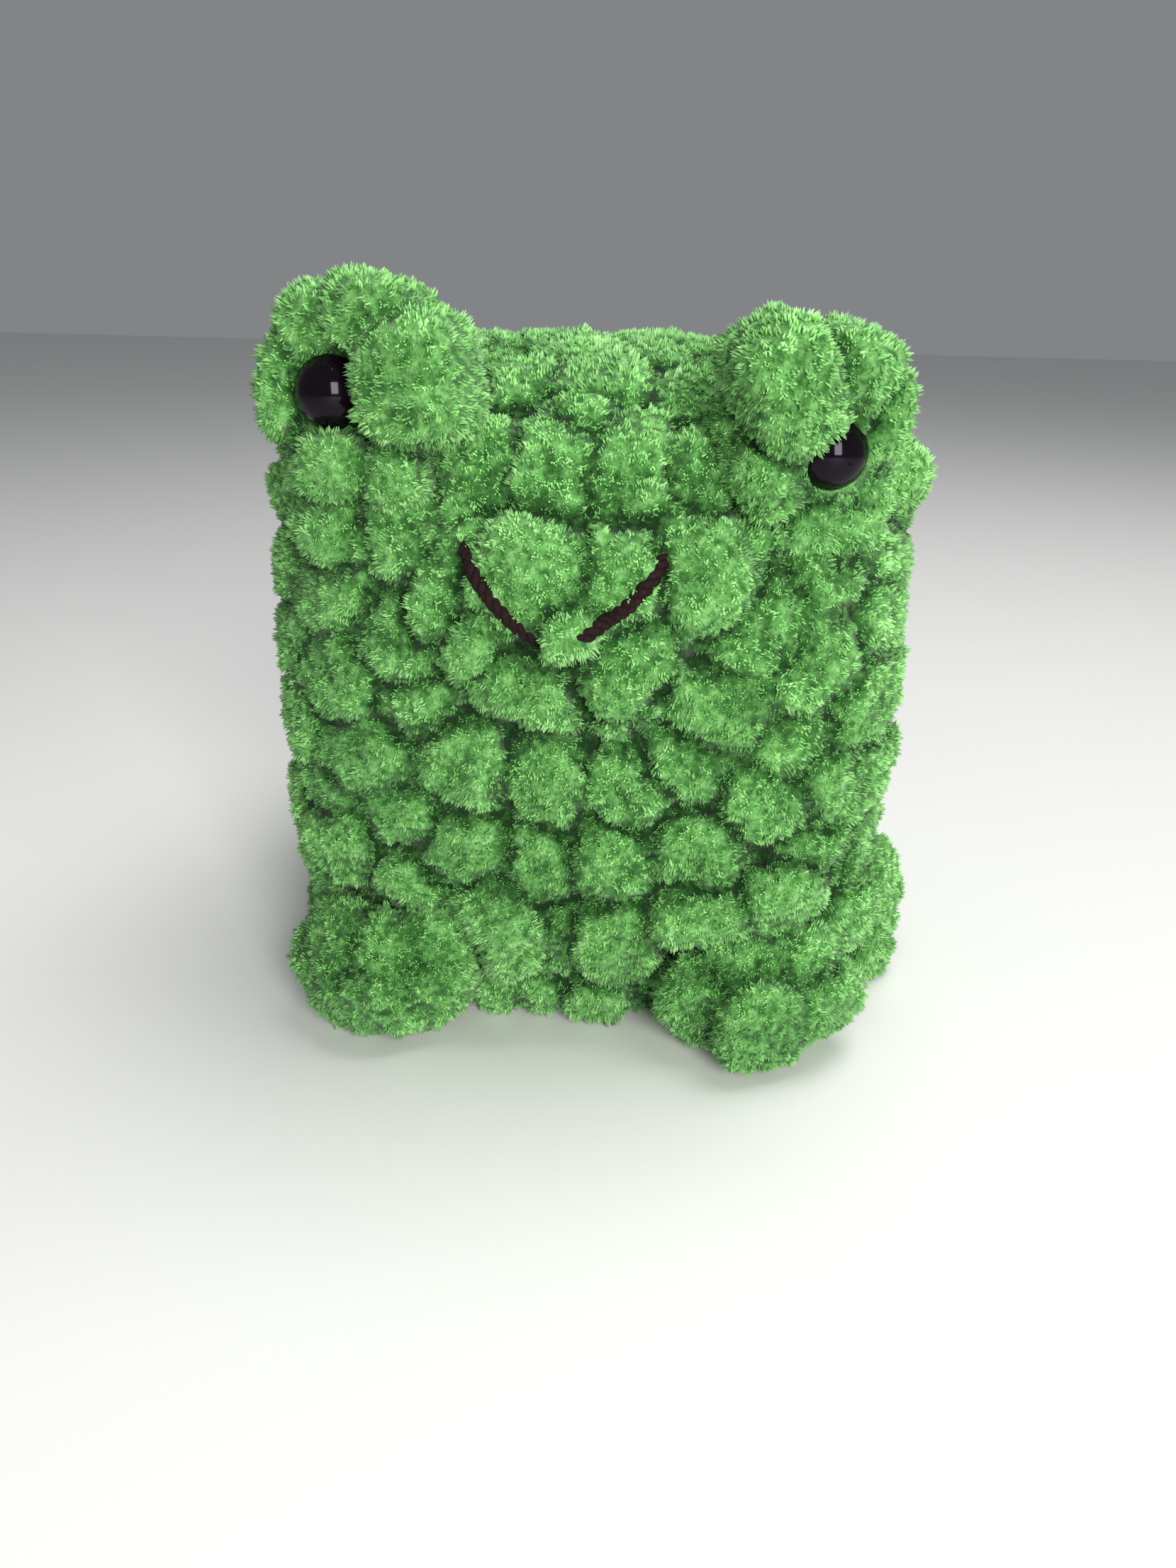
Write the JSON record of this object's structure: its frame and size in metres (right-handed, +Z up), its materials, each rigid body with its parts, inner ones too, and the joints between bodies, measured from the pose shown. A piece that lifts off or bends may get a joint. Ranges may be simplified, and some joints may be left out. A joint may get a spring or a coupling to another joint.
{
  "type": "crocheted plush frog",
  "caption": "Small plush frog crocheted from chenille yarn: box-shaped stuffed body, raised eye mounds with glossy safety eyes, stitched smile and padded feet.",
  "frame": {"origin": "on the ground under the middle of the body", "axes": "+Z up, the frog faces -Y, +X to the right of a viewer who faces it"},
  "size_m": [0.0827, 0.0801, 0.0913],
  "materials": {
    "green_yarn": "matte velvety chenille pile with lighter tips and dark stitch grooves",
    "stuffing": "loose white polyester fibre fill",
    "mouth_yarn": "dark burgundy twisted thread, matte",
    "eye_plastic": "glossy black",
    "washer_plastic": "translucent white washer, matte"
  },
  "bodies": {
    "root": {"body_cover": "green_yarn", "body_stuffing": "stuffing", "mouth_thread": "mouth_yarn", "eye_mound_left": "green_yarn", "safety_eye_left": "eye_plastic", "eye_washer_left": "washer_plastic", "front_foot_left": "green_yarn", "hind_foot_left": "green_yarn", "eye_mound_right": "green_yarn", "safety_eye_right": "eye_plastic", "eye_washer_right": "washer_plastic", "front_foot_right": "green_yarn", "hind_foot_right": "green_yarn"}
  },
  "joints": []
}
